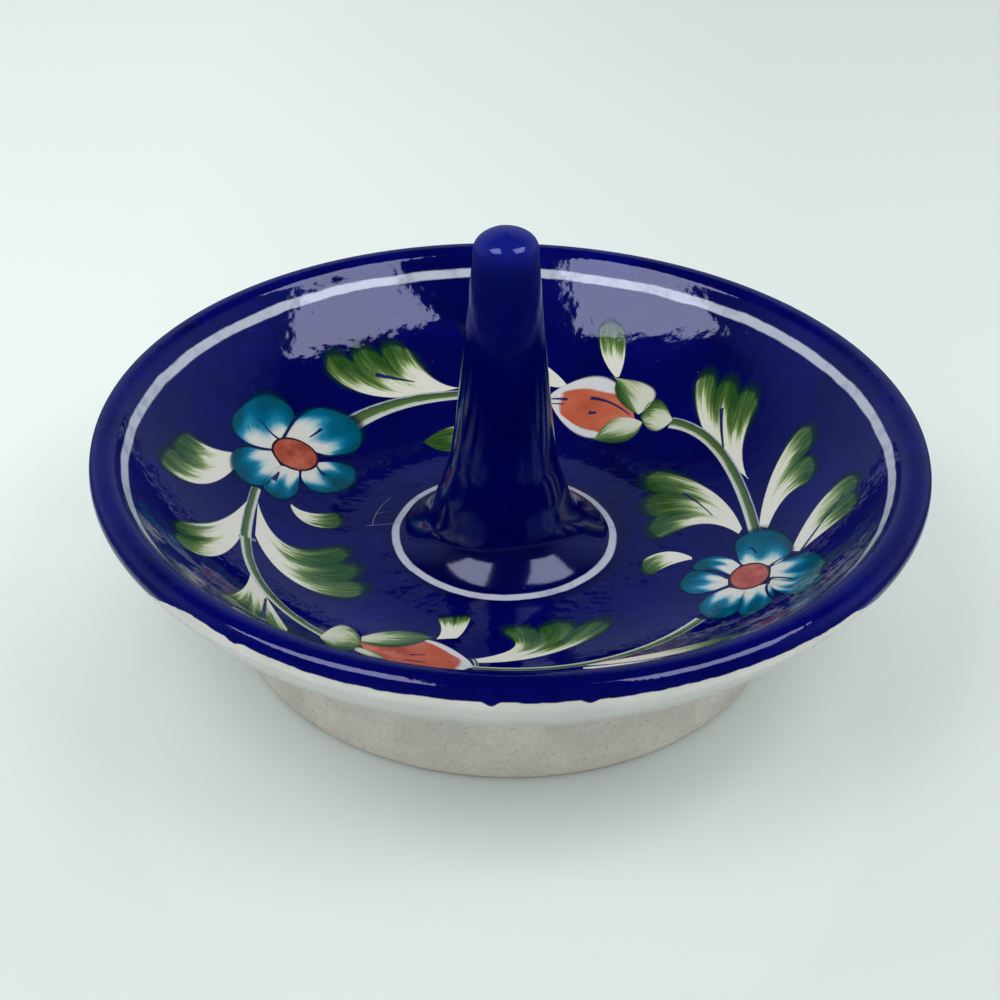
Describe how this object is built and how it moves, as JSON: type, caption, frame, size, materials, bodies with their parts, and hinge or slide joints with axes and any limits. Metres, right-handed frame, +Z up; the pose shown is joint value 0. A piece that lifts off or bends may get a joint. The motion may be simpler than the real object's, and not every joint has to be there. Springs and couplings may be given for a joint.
{
  "type": "ring dish",
  "caption": "Small round glazed dish on a foot ring with a tapering central post, for holding finger rings and trinkets.",
  "frame": {"origin": "centre of the foot ring's underside, on the surface that the dish stands on", "axes": "+Z up along the post; the shape is round about Z, and the picture is taken from the -Y side"},
  "size_m": [0.102, 0.102, 0.0536],
  "materials": {
    "cobalt_glaze": "gloss",
    "bare_body": "matte",
    "post_glaze": "gloss"
  },
  "bodies": {
    "root": {"dish": "cobalt_glaze", "foot_ring": "bare_body", "ring_post": "post_glaze"}
  },
  "joints": []
}
